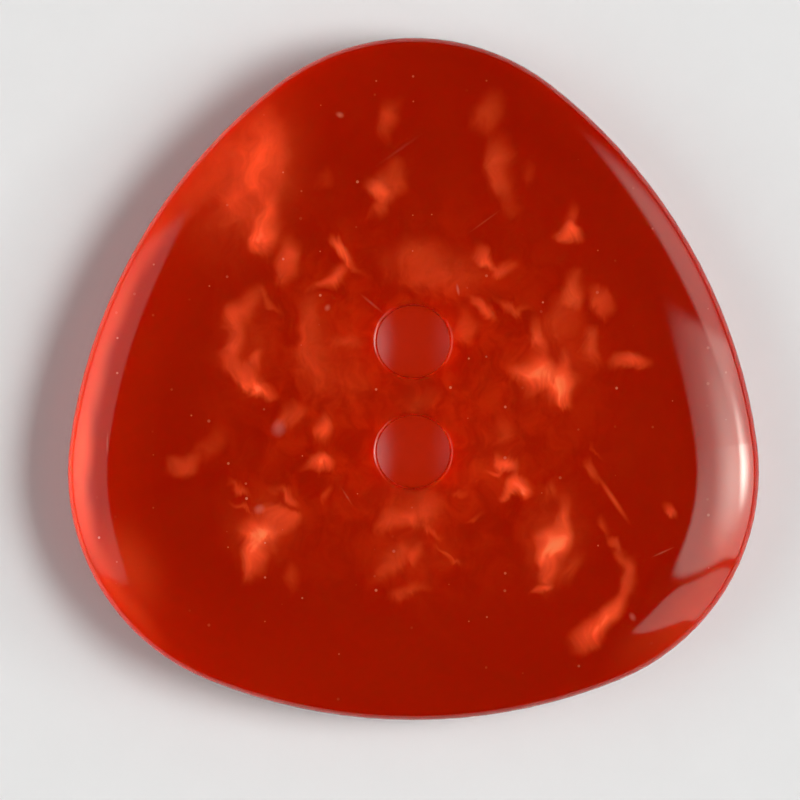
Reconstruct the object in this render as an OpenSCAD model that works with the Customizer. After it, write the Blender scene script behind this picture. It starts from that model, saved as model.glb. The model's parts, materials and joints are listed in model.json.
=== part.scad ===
// Sew-through button: a rounded triangle with two thread holes, cast in one piece of resin.
// It lies on its back. The back face is z = 0, the front faces +Z and one corner points to +Y.
// The origin is the middle of the outline, on the back face. Millimetres.

/* [Outline] */
// Width of the button, across two corners
across = 25; // [22:0.5:30]
// Radius of the three rounded corners
corner_r = 8.1; // [6.5:0.1:9.5]
// Angle that each corner turns through before the bulging side takes over, in degrees
corner_sweep = 75.6; // [60:0.2:90]

/* [Section] */
// Thickness from the back face to the front face
thickness = 3.6; // [3:0.1:4.5]
// Radius of the broad roll from the front face down to the rim
roll_r = 4.8; // [4:0.1:6]
// Radius of the tight turn at the rim
rim_r = 0.5; // [0.3:0.05:0.8]
// Radius of the turn from the side wall under to the back face
back_r = 0.6; // [0.3:0.05:0.9]

/* [Thread holes] */
// Diameter of a thread hole
hole_d = 2.65; // [2:0.05:3.2]
// Distance between the middles of the two holes
hole_pitch = 4; // [3.4:0.1:5]
// How far the pair sits from the middle of the outline, towards the upper corner
hole_rise = 0.2; // [-0.5:0.05:0.5]
// Radius of the polished lip at both mouths of a hole
hole_lip_r = 0.15; // [0.05:0.05:0.3]

/* [Hidden] */
$fa = 3;
$fs = 0.12;
resin_red = "#a81604";

corners = 3;
turn = 360 / corners;
upper_corner = 90;

// The outline is six arcs, each tangent to the next where it crosses the line through both middles.
// Corner arcs have their middles at corner_off from the origin, side arcs at side_off.
arc_step = (across / 2 - corner_r) / sin((turn - corner_sweep) / 2);
corner_off = (across / 2 - corner_r) / cos(turn / 4);
side_off = arc_step * sin(corner_sweep / 2) / cos(turn / 4);
side_r = corner_r + arc_step;
side_sweep = turn - corner_sweep;

// The roll runs from the flat front to where it faces this way, and the rim from there to the wall.
rim_facing = [0.6, 0.8];
roll_w = rim_r + (roll_r - rim_r) * rim_facing.x;
rim_z = thickness - roll_r + (roll_r - rim_r) * rim_facing.y;

// The plate under the flat front reaches half-way from the corner middles to the start of the roll,
// and the swept edge reaches in under it.
plate_r = (corner_off + side_r - side_off - roll_w) / 2;
edge_w = 0.9 * corner_r;

// Neighbouring arcs overlap by this angle, so that they join into one solid.
lap = 0.00002;
// The holes are cut this far past both faces.
cut_past = 1;

// A length or place as a rounded part and the small rest. Set one after the other, they keep
// neighbouring arcs from parting by a rounding error.
function rounded(v) = is_list(v) ? [for (c = v) rounded(c)] : round(v * 1000) / 1000;
function rest(v) = v - rounded(v);

module place(where) {
    translate(rounded(where)) translate(rest(where)) children();
}

// Section of the edge, with the outline at x = 0 and the inside at negative x.
module edge_section() {
    roll_start = [-roll_w, thickness];
    rim_middle = [-rim_r, rim_z];
    rim_start = rim_middle + rim_r * rim_facing;
    rim_end = [0, rim_z];
    back_start = [0, back_r];
    back_end = [-back_r, 0];

    polygon([[-edge_w, 0], back_end, back_start, rim_end, rim_start, roll_start, [-edge_w, thickness]]);
    arc_cap(roll_start, rim_start, roll_start - [0, roll_r], roll_r);
    arc_cap(rim_start, rim_end, rim_middle, rim_r);
    arc_cap(back_start, back_end, [-back_r, back_r], back_r);
}

// A round of the given radius over the chord from one point to the next, clockwise. It reaches in
// behind the chord, to join what lies there.
module arc_cap(from, to, middle, radius) {
    chord = to - from;
    outward = radius * [-chord.y, chord.x] / norm(chord);
    inward = -outward / 4;
    intersection() {
        translate(middle) circle(radius);
        polygon([from, from + outward, to + outward, to, to + inward, from + inward]);
    }
}

// The edge swept along one arc of the outline, about the arc's middle.
module edge_arc(middle, radius, facing, sweep) {
    place(middle)
        rotate_extrude(angle = sweep + 2 * lap, start = facing - sweep / 2 - lap)
            place([radius, 0]) edge_section();
}

// A drilled hole with a polished lip at both mouths, to be cut away.
module thread_hole() {
    mouth_r = hole_d / 2 + hole_lip_r;
    rotate_extrude()
        difference() {
            translate([0, -cut_past]) square([mouth_r, thickness + 2 * cut_past]);
            translate([mouth_r, hole_lip_r]) circle(hole_lip_r);
            translate([mouth_r, thickness - hole_lip_r]) circle(hole_lip_r);
            translate([hole_d / 2, hole_lip_r]) square([mouth_r, thickness - 2 * hole_lip_r]);
        }
}

module button() {
    color(resin_red)
        difference() {
            union() {
                cylinder(h = thickness, r = plate_r);
                for (i = [0 : corners - 1]) {
                    corner = upper_corner + turn * i;
                    side = corner + turn / 2;
                    edge_arc(corner_off * [cos(corner), sin(corner)], corner_r, corner, corner_sweep);
                    edge_arc(-side_off * [cos(side), sin(side)], side_r, side, side_sweep);
                }
            }
            for (y = [-1, 1] * hole_pitch / 2)
                translate([0, hole_rise + y, 0]) thread_hole();
        }
}

button();
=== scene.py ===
"""Sew-through button of cast red pearl resin, lying on its back on a pale table."""

import json
import math

import bpy
from bpy.props import FloatProperty, FloatVectorProperty, PointerProperty
from bpy.types import Operator, Panel, PropertyGroup
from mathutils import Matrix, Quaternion, Vector


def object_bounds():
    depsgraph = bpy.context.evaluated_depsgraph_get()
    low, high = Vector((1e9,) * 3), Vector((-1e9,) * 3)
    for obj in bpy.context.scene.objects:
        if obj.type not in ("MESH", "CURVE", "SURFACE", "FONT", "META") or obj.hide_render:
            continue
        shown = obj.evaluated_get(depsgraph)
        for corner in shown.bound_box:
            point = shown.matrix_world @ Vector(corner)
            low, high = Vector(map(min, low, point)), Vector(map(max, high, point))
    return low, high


bl_info = {
    "name": "Pearl Resin Button",
    "version": (1, 0, 0),
    "blender": (4, 5, 0),
    "location": "3D View > Sidebar > Button",
    "description": "Finishes a cast resin button with pearl wisps and sets up a small table studio",
    "category": "Object",
}

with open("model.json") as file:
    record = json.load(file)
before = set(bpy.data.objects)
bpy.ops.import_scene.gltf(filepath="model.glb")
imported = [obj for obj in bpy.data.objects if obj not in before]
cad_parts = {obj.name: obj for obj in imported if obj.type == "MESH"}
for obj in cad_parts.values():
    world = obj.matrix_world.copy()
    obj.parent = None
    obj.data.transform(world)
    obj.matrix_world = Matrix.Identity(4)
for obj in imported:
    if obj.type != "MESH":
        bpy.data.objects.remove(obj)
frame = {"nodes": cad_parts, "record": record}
CAD_BOX = [list(corner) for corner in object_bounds()]

BUTTON_NODE = "button"
MM = 0.001
# Height of the front face in millimetres
FRONT = CAD_BOX[1][2] / MM

# Pearl that was stirred into the resin, seen from the front. Each row is the middle x and y, the half
# length and half width in millimetres, the direction of the length in degrees, and the strength.
CLOUDS = (
    # Haze round the flakes
    (-0.2, -3.6, 2.2, 1.5, 0, 0.1),
    (0.1, -5.4, 2.4, 1.7, 30, 0.07),
    (5.0, -4.9, 2.5, 1.7, 80, 0.13),
    (5.0, 1.4, 2.7, 2.0, 40, 0.11),
    (-6.0, 2.2, 2.8, 1.6, 85, 0.12),
    (-6.0, 8.0, 4.6, 3.1, 75, 0.17),
    (-5.4, -4.5, 2.2, 1.9, 30, 0.13),
    (2.8, -2.0, 2.4, 1.7, 60, 0.06),
    (-2.8, 1.2, 2.6, 2.0, 90, 0.05),
    # Tall cloud on the upper left
    (-5.7, 8.2, 3.2, 1.9, 80, 0.26),
    (-6.5, 7.1, 1.1, 0.8, 90, 0.2),
    # Flakes between the tall cloud and the upper corner
    (-0.9, 8.1, 0.9, 0.65, 60, 0.3),
    (-0.5, 7.8, 0.8, 0.4, 70, 0.25),
    (-0.85, 10.2, 1.1, 0.45, 85, 0.33),
    (-3.3, 8.1, 0.6, 0.45, 30, 0.16),
    (-2.2, 5.0, 0.8, 0.22, 130, 0.28),
    # Arc on the left
    (-5.3, 3.6, 0.9, 0.18, 130, 0.25),
    (-3.7, 3.0, 1.3, 0.55, 85, 0.26),
    (-5.55, 1.6, 0.45, 0.35, 60, 0.4),
    (-4.4, -0.45, 0.9, 0.5, 20, 0.4),
    (-8.3, -2.3, 0.8, 0.6, 10, 0.38),
    (-7.4, -1.6, 1.2, 0.55, 50, 0.2),
    # Fan and flame on the lower left
    (-6.4, -3.1, 0.7, 0.24, 150, 0.4),
    (-6.2, -3.75, 0.6, 0.16, 150, 0.3),
    (-4.6, -3.4, 0.8, 0.3, 150, 0.4),
    (-5.1, -4.5, 1.0, 0.55, 30, 0.4),
    (-4.4, -6.3, 0.8, 0.45, 90, 0.2),
    # Clouds round the holes
    (-3.6, 1.6, 1.9, 1.1, 90, 0.24),
    (-2.4, 2.2, 0.9, 0.45, 165, 0.26),
    (-2.3, 0.6, 1.4, 0.9, 20, 0.09),
    (0.8, 4.7, 2.9, 1.5, 170, 0.24),
    (-0.3, 5.4, 1.3, 0.8, 20, 0.12),
    (0.2, 0.1, 1.1, 0.6, 10, 0.2),
    (1.9, 2.5, 0.9, 0.65, 40, 0.28),
    (1.75, 2.9, 0.7, 0.4, 60, 0.2),
    (3.5, 3.5, 1.0, 0.28, 160, 0.33),
    # Soft fans under the holes
    (-0.6, -4.2, 1.1, 0.5, 15, 0.4),
    (0.4, -4.0, 1.1, 0.9, 30, 0.33),
    (-0.5, -5.6, 1.2, 0.55, 40, 0.3),
    (0.2, -5.5, 0.6, 0.25, 80, 0.33),
    (-0.2, -6.85, 1.2, 0.42, 20, 0.33),
    (-0.8, -6.1, 0.9, 0.4, 30, 0.2),
    # Bright flake on the right and those above it
    (5.4, 3.2, 1.3, 0.9, 60, 0.2),
    (3.1, 8.6, 1.4, 0.7, 95, 0.38),
    (2.7, 10.4, 1.2, 0.75, 60, 0.3),
    (3.4, 7.4, 1.1, 0.5, 110, 0.15),
    (4.1, 8.2, 0.6, 0.4, 100, 0.12),
    # Bird-like flake on the lower right
    (3.1, -2.55, 0.5, 0.22, 10, 0.4),
    (5.0, -3.2, 0.6, 0.45, 80, 0.26),
    (3.2, -1.0, 0.8, 0.55, 70, 0.2),
    # Tall flake and the oblong with its long streak
    (5.7, -6.0, 0.9, 0.55, 80, 0.2),
    (7.6, -7.0, 0.9, 0.38, 75, 0.27),
    (7.5, -5.6, 0.9, 0.4, 115, 0.28),
    (7.2, -4.95, 0.45, 0.28, 150, 0.34),
    (6.9, -4.4, 0.4, 0.3, 100, 0.22),
    (6.4, -2.4, 0.6, 0.28, 110, 0.33),
    (6.6, -1.8, 0.6, 0.16, 140, 0.22),
)

# Denser pearl, in rows as above.
FLAKES = (
    # Tall cloud on the upper left
    (-5.3, 9.1, 1.9, 1.2, 90, 0.32),
    (-5.25, 6.5, 1.5, 0.8, 88, 0.6),
    (-5.4, 5.85, 0.8, 0.65, 60, 0.6),
    (-4.55, 5.0, 1.2, 0.55, 86, 0.6),
    # Flakes between the tall cloud and the upper corner
    (-1.2, 7.6, 0.75, 0.5, 150, 0.8),
    (-1.3, 7.0, 0.6, 0.38, 40, 0.5),
    (-2.6, 5.5, 0.7, 0.4, 135, 0.9),
    (-2.7, 4.65, 0.8, 0.45, 60, 0.5),
    (-3.15, 4.25, 0.8, 0.34, 25, 0.5),
    # Arc on the left
    (-6.1, 3.4, 1.1, 0.65, 60, 0.36),
    (-6.5, 2.6, 1.2, 0.6, 85, 0.42),
    (-6.6, 1.8, 0.8, 0.5, 70, 0.32),
    (-6.1, 1.05, 1.2, 0.65, 150, 0.5),
    (-5.6, 0.55, 1.0, 0.45, 150, 0.9),
    (-3.25, -1.0, 0.6, 0.45, 90, 0.75),
    (-3.38, -2.18, 0.75, 0.55, 0, 1.1),
    (-3.1, -3.4, 0.35, 0.2, 60, 0.3),
    # Fan and flame on the lower left
    (-4.9, -3.95, 1.0, 0.32, 165, 0.5),
    (-4.4, -4.3, 0.5, 0.4, 40, 0.45),
    (-5.5, -4.7, 1.1, 0.9, 20, 0.9),
    (-5.75, -5.6, 1.2, 0.62, 85, 0.9),
    # Clouds round the holes
    (2.45, 3.35, 0.7, 0.28, 140, 0.55),
    # Bright flake on the right and those above it
    (4.7, 0.85, 1.6, 0.9, 165, 0.95),
    (5.5, 0.35, 0.85, 0.5, 110, 0.85),
    (5.5, 1.4, 0.7, 0.4, 80, 0.42),
    (4.45, 2.3, 1.0, 0.5, 95, 0.6),
    (6.4, 2.1, 1.0, 0.45, 105, 0.45),
    (7.75, 1.45, 0.95, 0.45, 5, 0.65),
    (5.75, 4.1, 1.1, 0.6, 80, 0.55),
    (6.75, 3.6, 1.0, 0.46, 115, 0.45),
    (5.65, 6.05, 0.65, 0.4, 0, 0.85),
    (5.65, 6.5, 0.8, 0.38, 85, 0.3),
    (2.55, 5.2, 0.75, 0.4, 145, 0.7),
    (3.2, 4.85, 0.7, 0.34, 20, 0.45),
    # Streaks under the holes
    (1.2, -5.5, 0.8, 0.15, 140, 0.3),
    (2.1, -4.1, 0.35, 0.14, 40, 0.3),
    (1.7, -3.2, 0.4, 0.16, 20, 0.25),
    (0.7, -4.7, 0.7, 0.16, 150, 0.25),
    # Bird-like flake on the lower right
    (3.45, -2.2, 0.8, 0.32, 130, 0.75),
    (3.85, -2.95, 0.7, 0.38, 30, 0.95),
    (3.35, -3.2, 0.7, 0.22, 35, 0.55),
    (4.0, -3.2, 0.5, 0.28, 60, 0.5),
    # Tall flake and the oblong with its long streak
    (5.4, -4.2, 1.0, 0.44, 80, 0.6),
    (5.05, -5.1, 0.95, 0.65, 60, 1.0),
    (4.95, -5.9, 1.2, 0.48, 80, 0.5),
    (4.75, -6.65, 0.6, 0.17, 25, 0.55),
    (6.5, -8.2, 1.45, 0.7, 40, 0.85),
    (7.2, -7.6, 1.0, 0.55, 60, 0.5),
    (7.75, -6.3, 1.0, 0.42, 80, 0.34),
    (9.3, -3.95, 0.6, 0.28, 130, 0.55),
)

# A streak of pearl that settled without being stirred, and painted glow along the rims standing in for
# light that passes through the resin, in rows as above.
STILL_PEARL_AND_RIM_GLOW = (
    # Straight streak on the lower right
    (7.2, -3.5, 1.3, 0.14, 124, 0.5),
    # Painted glow along the lower right rim, where the lamps on the right light the resin
    (8.6, -8.6, 2.4, 1.3, 35, 0.1),
    (10.1, -7.3, 2.4, 1.3, 50, 0.2),
    (11.3, -5.1, 2.4, 1.3, 70, 0.2),
    (11.8, -2.5, 2.4, 1.2, 88, 0.09),
    # Painted glow along the left rim, standing in for light from the right that passes through the resin
    # and comes out there
    (-7.9, 7.7, 3.2, 0.9, 52, 0.14),
    (-9.6, 5.55, 2.6, 0.6, 60, 0.22),
    (-10.8, 3.15, 2.6, 0.6, 68, 0.3),
    (-11.6, 0.6, 2.6, 0.6, 76, 0.34),
    (-12.0, -1.8, 2.3, 0.62, 86, 0.58),
    (-12.0, -3.9, 2.2, 0.6, 100, 0.38),
    (-11.3, -5.9, 2.2, 0.6, 116, 0.2),
    (-10.1, -7.6, 2.2, 0.6, 132, 0.16),
    (-10.3, -5.9, 2.6, 1.6, 120, 0.17),
)

# How far a wisp reaches up and down, and the height of its middle, in millimetres
WISP_DEPTH = 3.4
WISP_HEIGHT = 3.0

# Fine hair scratches and rubbed spots in the polish, and one painted highlight, in rows as above.
SCRATCHES_AND_HIGHLIGHT = (
    (2.55, 6.5, 0.85, 0.05, 36, 0.16),
    (9.0, -5.4, 0.55, 0.045, 24, 0.3),
    (-2.4, -3.4, 0.5, 0.05, 122, 0.2),
    (-1.5, 3.55, 0.7, 0.07, 140, 0.2),
    (1.6, 4.05, 0.28, 0.07, 100, 0.5),
    (-0.5, 9.1, 1.3, 0.08, 35, 0.07),
    # Painted highlight: the short white glint on the inner edge of the reflection at the left rim
    (-11.04, -1.5, 0.62, 0.06, 89, 0.6),
    (-4.85, -0.95, 0.42, 0.36, 70, 0.35),
    (-5.55, -3.85, 0.28, 0.24, 20, 0.35),
    (7.9, -7.75, 0.24, 0.16, 120, 0.5),
    (-2.65, 10.35, 0.2, 0.14, 160, 0.6),
    (-3.1, 3.4, 0.18, 0.14, 60, 0.4),
)
SCRATCH_DEPTH = 0.6

# The thread holes: middle x and y and radius in millimetres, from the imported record.
HOLES = [
    (mount["pos_m"][0] / MM, mount["pos_m"][1] / MM, mount["dims"]["r_mm"])
    for mount in frame["record"]["mounts"] if mount["kind"] == "bore"
]
# How far past the radius the drilled wall's colour starts to fade and ends, and the depth of the lip
WALL_FADE_START = 0.01
WALL_FADE_END = 0.04
LIP_DEPTH = 0.15

# How the resin flowed before it set: shifts in millimetres, scales per millimetre, angles in radians
FLOW_LEAN = (0.5, -0.6, 0.0)
FLOW_DRIFT = 1.6
STIR_SCALE = 0.75
STIR_REACH = 0.7
HAZE_SCALE = 0.7
SILK_SCALE = 1.9
SILK_TURN = 0.5
SILK_STRETCH = (1.0, 0.5, 1.0)
COMB_REACH = (0.3, 0.5, 0.0)
PUSH_REACH = (0.1, 0.1, 0.0)

# Shares of plain, silky and hazy pearl in a wisp, and the pearl at which a pale core starts and is full
PEARL_PLAIN = 0.2
PEARL_SILK = 0.9
PEARL_HAZE = 0.7
CORE_START = 0.75
CORE_FULL = 1.35

# Fine pearl that clouds the resin: shares of haze and silk, the sum at which it starts and is full, its
# least and added strength, and the distance from the middle at which it ends and is full, in millimetres
CLOUD_HAZE = 0.65
CLOUD_SILK = 0.35
CLOUD_START = 0.36
CLOUD_FULL = 0.68
CLOUD_LEAST = 0.05
CLOUD_ADDED = 0.6
CLOUD_END = 10.5
CLOUD_MIDDLE = 3.0

# Dust on the front: cells per millimetre, the draw above which a cell holds a grain, the grains' radii in
# millimetres and their soft edge in cells, strength, and the upward part of the surface's normal at which
# dust starts to lie and lies fully
DUST_SCALE = 1.5
DUST_DRAW = 0.86
GRAIN_LEAST = 0.01
GRAIN_SPREAD = 0.035
GRAIN_EDGE = 0.03
DUST_STRENGTH = 0.6
DUST_START = 0.6
DUST_FULL = 0.8

# Roughness that drilling and dust add to the polish, and the resin's refraction
DRILLED_ROUGHNESS = 0.85
DUST_ROUGHNESS = 0.5
RESIN_IOR = 1.55

# Paper on the table: mottle per millimetre, how dark its darkest spot is, roughness and gloss
MOTTLE_SCALE = 0.4
MOTTLE_SHADE = 0.97
PAPER_ROUGHNESS = 0.8
PAPER_GLOSS = 0.2


class Value:
    """A number that varies over a surface: a node socket whose arithmetic adds Math nodes."""

    def __init__(self, sheet, socket):
        self.sheet = sheet
        self.socket = socket

    def __add__(self, other):
        return self.sheet.math("ADD", self, other)

    def __radd__(self, other):
        return self.sheet.math("ADD", other, self)

    def __sub__(self, other):
        return self.sheet.math("SUBTRACT", self, other)

    def __rsub__(self, other):
        return self.sheet.math("SUBTRACT", other, self)

    def __mul__(self, other):
        return self.sheet.math("MULTIPLY", self, other)

    def __rmul__(self, other):
        return self.sheet.math("MULTIPLY", other, self)

    def __pow__(self, other):
        return self.sheet.math("POWER", self, other)

    def __rpow__(self, other):
        return self.sheet.math("POWER", other, self)

    def clamped(self):
        return self.sheet.math("MINIMUM", self.sheet.math("MAXIMUM", self, 0.0), 1.0)


class Sheet:
    """The node sheet of a material, a lamp or the world, emptied and ready to be filled."""

    def __init__(self, owner):
        owner.use_nodes = True
        self.tree = owner.node_tree
        self.tree.nodes.clear()

    def node(self, kind, settings=None, sockets=None):
        """Adds a node, makes its settings, then fills its sockets with numbers or links.

        A setting that is a dict holds values for the parts of that setting.
        """
        made = self.tree.nodes.new(kind)
        for name, setting in (settings or {}).items():
            if isinstance(setting, dict):
                for part, value in setting.items():
                    setattr(getattr(made, name), part, value)
            else:
                setattr(made, name, setting)
        for name, filling in (sockets or {}).items():
            self.fill(made.inputs[name], filling)
        return made

    def fill(self, socket, filling):
        if isinstance(filling, Value):
            filling = filling.socket
        if isinstance(filling, bpy.types.NodeSocket):
            self.tree.links.new(filling, socket)
        else:
            socket.default_value = filling

    def math(self, operation, *operands):
        made = self.node("ShaderNodeMath", {"operation": operation}, dict(enumerate(operands)))
        return Value(self, made.outputs[0])

    def vector(self, operation, *operands):
        made = self.node("ShaderNodeVectorMath", {"operation": operation}, dict(enumerate(operands)))
        return made.outputs["Vector"]

    def scaled(self, vector, factor):
        sockets = {"Vector": vector, "Scale": factor}
        return self.node("ShaderNodeVectorMath", {"operation": "SCALE"}, sockets).outputs["Vector"]

    def mixed(self, factor, first, second):
        """A colour between two others. A Mix node's colour sockets are its seventh and eighth."""
        sockets = {0: factor, 6: first, 7: second}
        return self.node("ShaderNodeMix", {"data_type": "RGBA"}, sockets).outputs[2]

    def noise(self, place, scale, detail, roughness):
        sockets = {"Vector": place, "Scale": scale, "Detail": detail, "Roughness": roughness}
        return self.node("ShaderNodeTexNoise", {"noise_dimensions": "2D"}, sockets)

    def split(self, vector):
        """The x, y and z of a vector."""
        return self.node("ShaderNodeSeparateXYZ", None, {0: vector}).outputs

    def length(self, vector):
        return self.node("ShaderNodeVectorMath", {"operation": "LENGTH"}, {0: vector}).outputs["Value"]

    def eased(self, value, start, end, height):
        """0 at start, the height at end, and a smooth rise between them."""
        sockets = {"Value": value, "From Min": start, "From Max": end, "To Max": height}
        settings = {"interpolation_type": "SMOOTHSTEP", "clamp": False}
        return Value(self, self.node("ShaderNodeMapRange", settings, sockets).outputs[0])


def rgba(colour):
    return (*colour, 1.0)


def wisp(sheet, place, row, depth, height):
    """A cloud that has its strength in the middle and fades to 0 at its edge."""
    x, y, length, width, angle, strength = row
    laid = {
        "vector_type": "TEXTURE",
        "translation": (x, y, height),
        "rotation": (0.0, 0.0, math.radians(angle)),
        "scale": (length, width, depth),
    }
    settings = {"gradient_type": "SPHERICAL", "texture_mapping": laid}
    ball = sheet.node("ShaderNodeTexGradient", settings, {"Vector": place})
    return sheet.eased(ball.outputs[1], 0.0, 1.0, strength)


def gathered(sheet, place, rows, depth, height):
    """The sum of a table of clouds."""
    total = 0.0
    for row in rows:
        total = wisp(sheet, place, row, depth, height) + total
    return total


def near_holes(sheet, place):
    """1 on the walls of the thread holes, up to the lip at the front, and 0 elsewhere."""
    total = 0.0
    for x, y, radius in HOLES:
        away = sheet.vector("MULTIPLY", sheet.vector("SUBTRACT", place, (x, y, 0.0)), (1.0, 1.0, 0.0))
        reach = sheet.length(away)
        total = sheet.eased(reach, radius + WALL_FADE_END, radius + WALL_FADE_START, 1.0) + total
    height = sheet.split(place)[2]
    return total * sheet.eased(height, FRONT - LIP_DEPTH, FRONT - 2.0 * LIP_DEPTH, 1.0)


def resin_material(look):
    """Clear red resin with pearl wisps in it, polished, with a little dust on it, painted glow along its
    rims and a painted highlight.
    """
    material = bpy.data.materials.new("red_pearl_resin")
    sheet = Sheet(material)
    coordinates = sheet.node("ShaderNodeTexCoord").outputs["Object"]
    place = sheet.scaled(coordinates, 1.0 / MM)

    # Flow of the resin
    leaned = sheet.vector("ADD", place, sheet.scaled(FLOW_LEAN, sheet.split(place)[2]))
    stir = sheet.noise(leaned, STIR_SCALE, detail=1.0, roughness=0.55).outputs["Color"]
    stir = sheet.scaled(sheet.vector("SUBTRACT", stir, (0.5, 0.5, 0.5)), STIR_REACH)
    flowing = sheet.vector("ADD", leaned, sheet.scaled(stir, FLOW_DRIFT))
    haze = Value(sheet, sheet.noise(flowing, HAZE_SCALE, detail=4.0, roughness=0.62).outputs[0])
    drawn = sheet.node("ShaderNodeMapping", {"vector_type": "POINT"},
                       {"Vector": flowing, "Rotation": (0.0, 0.0, SILK_TURN), "Scale": SILK_STRETCH})
    silk = Value(sheet, sheet.noise(drawn.outputs[0], SILK_SCALE, detail=2.0, roughness=0.6).outputs[0])

    # Pearl in the flow
    stirred = sheet.vector("ADD", place, stir)
    combed = sheet.vector("ADD", stirred, sheet.scaled(COMB_REACH, silk - 0.5))
    clouds = gathered(sheet, combed, CLOUDS, WISP_DEPTH, WISP_HEIGHT)
    pushed = sheet.vector("ADD", combed, sheet.scaled(PUSH_REACH, clouds))
    pearl = gathered(sheet, pushed, FLAKES, WISP_DEPTH, WISP_HEIGHT) + clouds
    pearl = pearl * (PEARL_PLAIN + PEARL_SILK * silk + PEARL_HAZE * haze)
    core = sheet.eased(pearl, CORE_START, CORE_FULL, 1.0).clamped()
    # Adds the still pearl and the painted glow along the rims
    pearl = (pearl + gathered(sheet, place, STILL_PEARL_AND_RIM_GLOW, WISP_DEPTH, WISP_HEIGHT)).clamped()

    # Red of the resin, with the pearl and the painted rim glow on it
    middle = sheet.eased(sheet.length(place), CLOUD_END, CLOUD_MIDDLE, 1.0)
    fine = haze * CLOUD_HAZE + silk * CLOUD_SILK
    clouded = sheet.eased(fine, CLOUD_START, CLOUD_FULL, 1.0).clamped()
    warmth = middle * (CLOUD_LEAST + CLOUD_ADDED * clouded)
    colour = sheet.mixed(warmth, rgba(look.deep_red), rgba(look.warm_red))
    colour = sheet.mixed(pearl, colour, rgba(look.pearl_and_rim_glow_orange))
    colour = sheet.mixed(core, colour, rgba(look.pearl_pale))

    # Scratches, dust and a painted highlight
    rubbed_and_highlight = gathered(sheet, place, SCRATCHES_AND_HIGHLIGHT, SCRATCH_DEPTH, FRONT)
    facing = sheet.node("ShaderNodeNewGeometry").outputs["Normal"]
    settled = sheet.eased(sheet.split(facing)[2], DUST_START, DUST_FULL, 1.0)
    cells = sheet.node("ShaderNodeTexVoronoi", {"voronoi_dimensions": "2D"},
                       {"Vector": place, "Scale": DUST_SCALE, "Randomness": 1.0})
    lot = sheet.node("ShaderNodeSeparateColor", None, {0: cells.outputs["Color"]}).outputs
    chosen = sheet.eased(lot[0], DUST_DRAW, 1.0, 1.0)
    grain = (Value(sheet, lot[1]) * GRAIN_SPREAD + GRAIN_LEAST) * DUST_SCALE
    past_grain = Value(sheet, cells.outputs["Distance"]) - grain
    speck = sheet.eased(past_grain, GRAIN_EDGE, 0.0, DUST_STRENGTH) * chosen * settled
    colour = sheet.mixed((rubbed_and_highlight + speck).clamped(), colour, rgba(look.dust))

    # Walls of the thread holes
    drilled = near_holes(sheet, place)
    colour = sheet.mixed(drilled, colour, rgba(look.drilled_red))

    sockets = {
        "Base Color": colour,
        "Roughness": look.polish + drilled * DRILLED_ROUGHNESS + speck * DUST_ROUGHNESS,
        "IOR": RESIN_IOR,
        "Specular Tint": rgba(look.sheen),
        "Subsurface Weight": look.translucency,
        "Subsurface Radius": tuple(look.glow_depth),
        "Subsurface Scale": MM,
    }
    shader = sheet.node("ShaderNodeBsdfPrincipled", {"subsurface_method": "RANDOM_WALK"}, sockets)
    sheet.node("ShaderNodeOutputMaterial", None, {"Surface": shader.outputs[0]})
    return material


def table_material(look):
    """Pale paper with a faint mottle."""
    material = bpy.data.materials.new("pale_paper")
    sheet = Sheet(material)
    coordinates = sheet.node("ShaderNodeTexCoord").outputs["Object"]
    place = sheet.scaled(coordinates, 1.0 / MM)
    mottle = sheet.noise(place, MOTTLE_SCALE, detail=4.0, roughness=0.6).outputs[0]
    darker = tuple(MOTTLE_SHADE * channel for channel in look.paper)
    colour = sheet.mixed(mottle, rgba(darker), rgba(look.paper))
    sockets = {"Base Color": colour, "Roughness": PAPER_ROUGHNESS, "Specular IOR Level": PAPER_GLOSS}
    shader = sheet.node("ShaderNodeBsdfPrincipled", None, sockets)
    sheet.node("ShaderNodeOutputMaterial", None, {"Surface": shader.outputs[0]})
    return material


class ResinLook(PropertyGroup):
    """Colours and finish of the resin"""
    deep_red: FloatVectorProperty(
        name="Deep red", description="Colour of the clear resin", subtype="COLOR",
        default=(0.312, 0.007, 0.0005), min=0.0, max=1.0)
    warm_red: FloatVectorProperty(
        name="Warm red", description="Colour where fine pearl clouds the resin", subtype="COLOR",
        default=(0.57, 0.025, 0.003), min=0.0, max=1.0)
    # Also the colour of the painted glow along the rims
    pearl_and_rim_glow_orange: FloatVectorProperty(
        name="Pearl", description="Colour of a dense pearl wisp", subtype="COLOR",
        default=(0.98, 0.105, 0.026), min=0.0, max=1.0)
    pearl_pale: FloatVectorProperty(
        name="Pale pearl", description="Colour of the core of a flake", subtype="COLOR",
        default=(1.0, 0.21, 0.08), min=0.0, max=1.0)
    # Also the colour of the painted highlight in the scratch table
    dust: FloatVectorProperty(
        name="Dust", description="Colour of dust and fine scratches", subtype="COLOR",
        default=(0.6, 0.2, 0.15), min=0.0, max=1.0)
    drilled_red: FloatVectorProperty(
        name="Drilled red", description="Colour of the drilled walls of the thread holes", subtype="COLOR",
        default=(0.6, 0.02, 0.004), min=0.0, max=1.0)
    sheen: FloatVectorProperty(
        name="Sheen", description="Tint of what the polish reflects", subtype="COLOR",
        default=(1.0, 0.97, 0.86), min=0.0, max=1.0)
    polish: FloatProperty(
        name="Polish", description="Roughness of the polished face", default=0.06, min=0.0, max=1.0)
    translucency: FloatProperty(
        name="Translucency", description="Share of the light that goes in and scatters", subtype="FACTOR",
        default=1.0, min=0.0, max=1.0)
    glow_depth: FloatVectorProperty(
        name="Glow depth", description="How far red, green and blue travel in the resin, in millimetres",
        default=(6.0, 0.4, 0.15), min=0.0)


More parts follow.
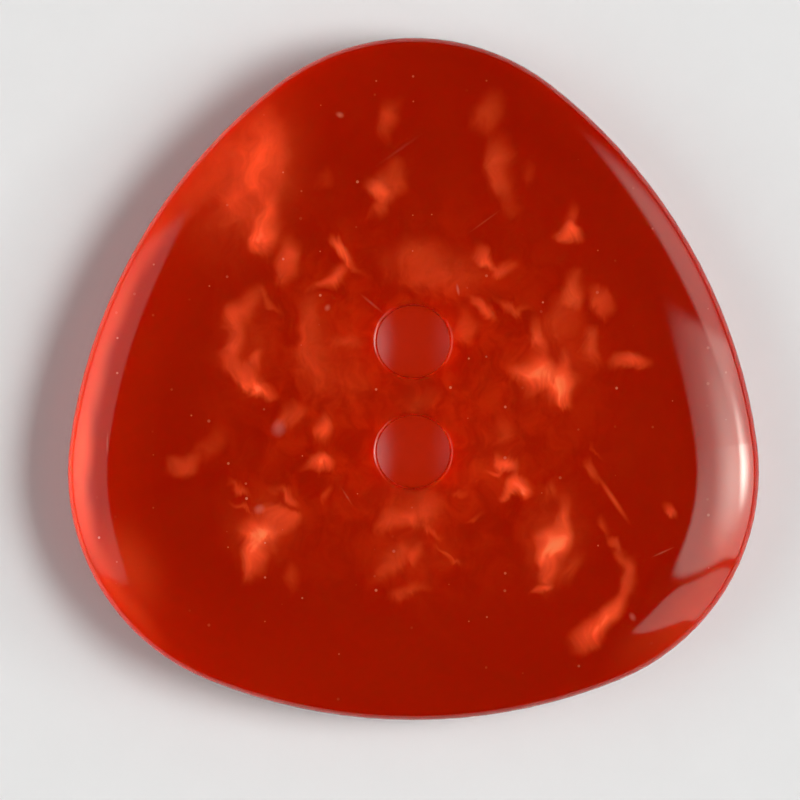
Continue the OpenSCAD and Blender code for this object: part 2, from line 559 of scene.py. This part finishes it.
class StudioLook(PropertyGroup):
    """Table and camera"""
    paper: FloatVectorProperty(
        name="Paper", description="Colour of the table", subtype="COLOR",
        default=(0.88, 0.88, 0.875), min=0.0, max=1.0)
    camera_height: FloatProperty(
        name="Camera height", description="Height of the camera over the table", unit="LENGTH",
        default=0.35, min=0.1)
    frame_width: FloatProperty(
        name="Frame width", description="Width of the picture at the height of the button's wall",
        unit="LENGTH", default=0.02902, min=0.01)


# Lamps round the button: name, azimuth and elevation of the middle, turn about the line of sight, width
# and height as seen from the button in degrees, the share of the height at the foot that is masked off,
# radiance, squareness of the outline (2 is an ellipse), and the share of the half size that fades out.
LAMPS = (
    ("key_middle", -3.0, 34.0, 0.0, 40.0, 44.0, 0.0, 5.4, 2.0, 1.0),
    ("key_core", 0.5, 25.0, 0.0, 26.0, 10.5, 0.0, 18.0, 2.0, 1.0),
    ("low_strip", 26.0, 26.0, 0.0, 40.0, 19.0, 0.0, 1.9, 2.0, 0.5),
    ("side_panel", -39.8, 32.0, 23.0, 16.6, 42.0, 0.0, 1.4, 5.0, 0.15),
    ("left_panel", 179.0, 31.0, 0.0, 60.0, 36.0, 0.0, 0.8, 3.0, 0.12),
    ("left_low", 178.0, 24.0, 0.0, 60.0, 32.0, 0.0, 1.1, 2.0, 1.0),
)
# Lamps that light everything without showing in the polish, in rows as above
HIGH_LAMPS = (
    ("high_key", 0.0, 50.0, 0.0, 44.0, 27.0, 0.0, 4.0, 2.0, 0.6),
    ("high_fill", 180.0, 52.0, 0.0, 50.0, 27.0, 0.0, 1.9, 2.0, 0.6),
)
# Panel that shows in the polish and lights the button alone
KEY_PANEL = ("key_panel", -3.0, 30.7, 5.0, 42.5, 78.6, 0.24, 2.4, 3.4, 0.12)
# Lamp that lights the table alone
TABLE_LAMP = ("table_key", 0.0, 51.0, 0.0, 44.0, 27.0, 0.0, 7.7, 2.0, 0.6)
# Light that the resin carries to its far rim, given to the button alone
FAR_RIM_LAMP = ("far_rim_glow", 178.0, 12.0, 0.0, 44.0, 16.0, 0.0, 45.0, 2.0, 0.6)
LAMP_DISTANCE = 1.5
# How softly a masked foot starts, as a share of the height. Such a lamp also fades to one upper corner:
# the sum of both shares, across and up, at which it starts to fade and is dark.
FOOT_EDGE = 0.04
CORNER_FADE = 1.3
CORNER_DARK = 1.98

# Red light on the paper under the thread holes. The power is in watts and lengths are in metres.
HOLE_GLOW_COLOUR = (1.0, 0.035, 0.0)
HOLE_GLOW_POWER = 1.1
HOLE_GLOW_HEIGHT = 0.3
HOLE_GLOW_RADIUS = 6.0 * MM
HOLE_GLOW_SIZE = 1.0 * MM

# Walls of the room. Each row is the upward part of a direction at which the glow ends and at which it is
# full, and its radiance.
WALLS = (
    (0.35, 0.0, 0.2),
    (0.8, 0.55, 0.4),
)
# The part of a direction along +X at which the walls are dark, and at which they are full
WALLS_DARK = 1.0
WALLS_FULL = -0.7

# The table's half width, and how far it lies under the back face, in metres
TABLE_HALF = 1.5
TABLE_DROP = 0.00002

# The camera: width of its sensor in millimetres, the height in the button's wall at which the frame width
# is measured, where it stands over the table, and the range that it sees, in metres
SENSOR_WIDTH = 36.0
FRAMED_HEIGHT = 1.2 * MM
CAMERA_PLACE = (-0.486 * MM, 0.076 * MM)
CAMERA_NEAR = 0.01
CAMERA_FAR = 10.0


def around(azimuth, elevation):
    """Direction from the button, with azimuth 0 along +X and 90 along +Y."""
    turn = math.radians(azimuth)
    rise = math.radians(elevation)
    level = math.cos(rise)
    return Vector((math.cos(turn) * level, math.sin(turn) * level, math.sin(rise)))


def lamp_face(data, foot, squareness, fade):
    """Light that fades towards the lamp's outline and, if it has a masked foot, leaves that dark."""
    sheet = Sheet(data)
    spot = sheet.node("ShaderNodeNewGeometry").outputs["Parametric"]
    ends = sheet.split(spot)
    across = Value(sheet, ends[0])
    up = Value(sheet, ends[1])
    from_middle = sheet.math("ABSOLUTE", across * 2.0 - 1.0)
    from_half_way = sheet.math("ABSOLUTE", up * 2.0 - 1.0)
    rim = (from_middle ** squareness + from_half_way ** squareness) ** (1.0 / squareness)
    glow = sheet.eased(rim, 1.0, 1.0 - fade, 1.0)
    if foot > 0.0:
        glow = glow * sheet.eased(up, foot, foot + FOOT_EDGE, 1.0)
        glow = glow * sheet.eased(across + up, CORNER_DARK, CORNER_FADE, 1.0)
    emission = sheet.node("ShaderNodeEmission", None, {"Strength": glow})
    sheet.node("ShaderNodeOutputLight", None, {"Surface": emission.outputs[0]})


def add_lamp(name, azimuth, elevation, turn, width, height, foot, radiance, squareness, fade):
    """A flat lamp that faces the button, out of the camera's sight."""
    data = bpy.data.lights.new(name, "AREA")
    data.shape = "RECTANGLE"
    data.size = 2.0 * LAMP_DISTANCE * math.tan(math.radians(width / 2.0))
    data.size_y = 2.0 * LAMP_DISTANCE * math.tan(math.radians(height / 2.0))
    data.energy = radiance * math.pi * data.size * data.size_y
    lamp_face(data, foot, squareness, fade)
    lamp = bpy.data.objects.new(name, data)
    bpy.context.scene.collection.objects.link(lamp)
    direction = around(azimuth, elevation)
    lamp.location = direction * LAMP_DISTANCE
    lamp.rotation_mode = "QUATERNION"
    facing = direction.to_track_quat("Z", "Y")
    lamp.rotation_quaternion = facing @ Quaternion((0.0, 0.0, 1.0), math.radians(turn))
    lamp.visible_camera = False
    return lamp


def shine_only_on(lamp, target):
    """Keeps a lamp's light to one piece."""
    lit = bpy.data.collections.new("lit_by_" + lamp.name)
    lit.objects.link(target)
    lamp.light_linking.receiver_collection = lit


def add_hole_glow(table):
    """Red light that the resin carries on to the paper under the thread holes."""
    data = bpy.data.lights.new("hole_glow", "SPOT")
    data.color = HOLE_GLOW_COLOUR
    data.energy = HOLE_GLOW_POWER
    data.shadow_soft_size = HOLE_GLOW_SIZE
    data.spot_size = 2.0 * math.atan(HOLE_GLOW_RADIUS / HOLE_GLOW_HEIGHT)
    data.spot_blend = 0.0
    lamp = bpy.data.objects.new("hole_glow", data)
    bpy.context.scene.collection.objects.link(lamp)
    lamp.location = (0.0, 0.0, HOLE_GLOW_HEIGHT)
    lamp.visible_camera = False
    shine_only_on(lamp, table)


def pale_room():
    """Pale walls, brighter on the left, under a dark ceiling. The polish doesn't show them."""
    world = bpy.data.worlds.new("room")
    sheet = Sheet(world)
    direction = sheet.node("ShaderNodeTexCoord").outputs["Generated"]
    look = sheet.split(direction)
    right = look[0]
    up = look[2]
    walls = 0.0
    for end, full, radiance in WALLS:
        walls = sheet.eased(up, end, full, radiance) + walls
    glow = walls * sheet.eased(right, WALLS_DARK, WALLS_FULL, 1.0)
    background = sheet.node("ShaderNodeBackground", None, {"Strength": glow})
    sheet.node("ShaderNodeOutputWorld", None, {"Surface": background.outputs[0]})
    world.cycles_visibility.glossy = False
    return world


def cast_button():
    """The button that was cast, from the frame."""
    if BUTTON_NODE not in frame["nodes"]:
        raise RuntimeError("the frame holds no " + BUTTON_NODE)
    return frame["nodes"][BUTTON_NODE]


def lay_table(look):
    """A flat sheet of paper under the button."""
    mesh = bpy.data.meshes.new("table")
    signs = ((-1, -1), (1, -1), (1, 1), (-1, 1))
    corners = [(x * TABLE_HALF, y * TABLE_HALF, -TABLE_DROP) for x, y in signs]
    mesh.from_pydata(corners, [], [(0, 1, 2, 3)])
    mesh.materials.append(table_material(look))
    table = bpy.data.objects.new("table", mesh)
    bpy.context.scene.collection.objects.link(table)
    return table


def add_camera(look):
    """A camera that looks straight down."""
    data = bpy.data.cameras.new("overhead")
    data.sensor_width = SENSOR_WIDTH
    data.lens = SENSOR_WIDTH * (look.camera_height - FRAMED_HEIGHT) / look.frame_width
    data.clip_start = CAMERA_NEAR
    data.clip_end = CAMERA_FAR
    camera = bpy.data.objects.new("overhead", data)
    camera.location = (*CAMERA_PLACE, look.camera_height)
    bpy.context.scene.collection.objects.link(camera)
    return camera


class BUTTON_OT_finish_resin(Operator):
    """Give the cast button its pearl resin finish"""
    bl_idname = "button.finish_resin"
    bl_label = "Finish resin"

    def execute(self, context):
        button = cast_button()
        material = resin_material(context.scene.button_resin)
        button.data.materials.clear()
        button.data.materials.append(material)
        return {"FINISHED"}


class BUTTON_OT_set_stage(Operator):
    """Lay the pale table and set the lamps and the camera"""
    bl_idname = "button.set_stage"
    bl_label = "Set stage"

    def execute(self, context):
        scene = context.scene
        look = scene.button_studio
        scene.view_settings.view_transform = "Standard"
        button = cast_button()
        table = lay_table(look)

        for lamp in LAMPS:
            add_lamp(*lamp)
        for lamp in HIGH_LAMPS:
            add_lamp(*lamp).visible_glossy = False
        shine_only_on(add_lamp(*KEY_PANEL), button)
        shine_only_on(add_lamp(*TABLE_LAMP), table)
        far_rim = add_lamp(*FAR_RIM_LAMP)
        far_rim.visible_glossy = False
        shine_only_on(far_rim, button)
        add_hole_glow(table)
        scene.world = pale_room()
        scene.camera = add_camera(look)
        return {"FINISHED"}


class BUTTON_PT_tools(Panel):
    bl_idname = "BUTTON_PT_tools"
    bl_label = "Pearl resin button"
    bl_space_type = "VIEW_3D"
    bl_region_type = "UI"
    bl_category = "Button"

    def draw(self, context):
        layout = self.layout
        for look in (context.scene.button_resin, context.scene.button_studio):
            column = layout.column()
            for name in look.__annotations__:
                column.prop(look, name)
        layout.operator(BUTTON_OT_finish_resin.bl_idname)
        layout.operator(BUTTON_OT_set_stage.bl_idname)


CLASSES = (ResinLook, StudioLook, BUTTON_OT_finish_resin, BUTTON_OT_set_stage, BUTTON_PT_tools)


def register():
    for cls in CLASSES:
        bpy.utils.register_class(cls)
    bpy.types.Scene.button_resin = PointerProperty(type=ResinLook)
    bpy.types.Scene.button_studio = PointerProperty(type=StudioLook)


def unregister():
    del bpy.types.Scene.button_studio
    del bpy.types.Scene.button_resin
    for cls in reversed(CLASSES):
        bpy.utils.unregister_class(cls)


def main():
    register()
    bpy.ops.button.finish_resin()
    bpy.ops.button.set_stage()


if __name__ == "__main__":
    main()
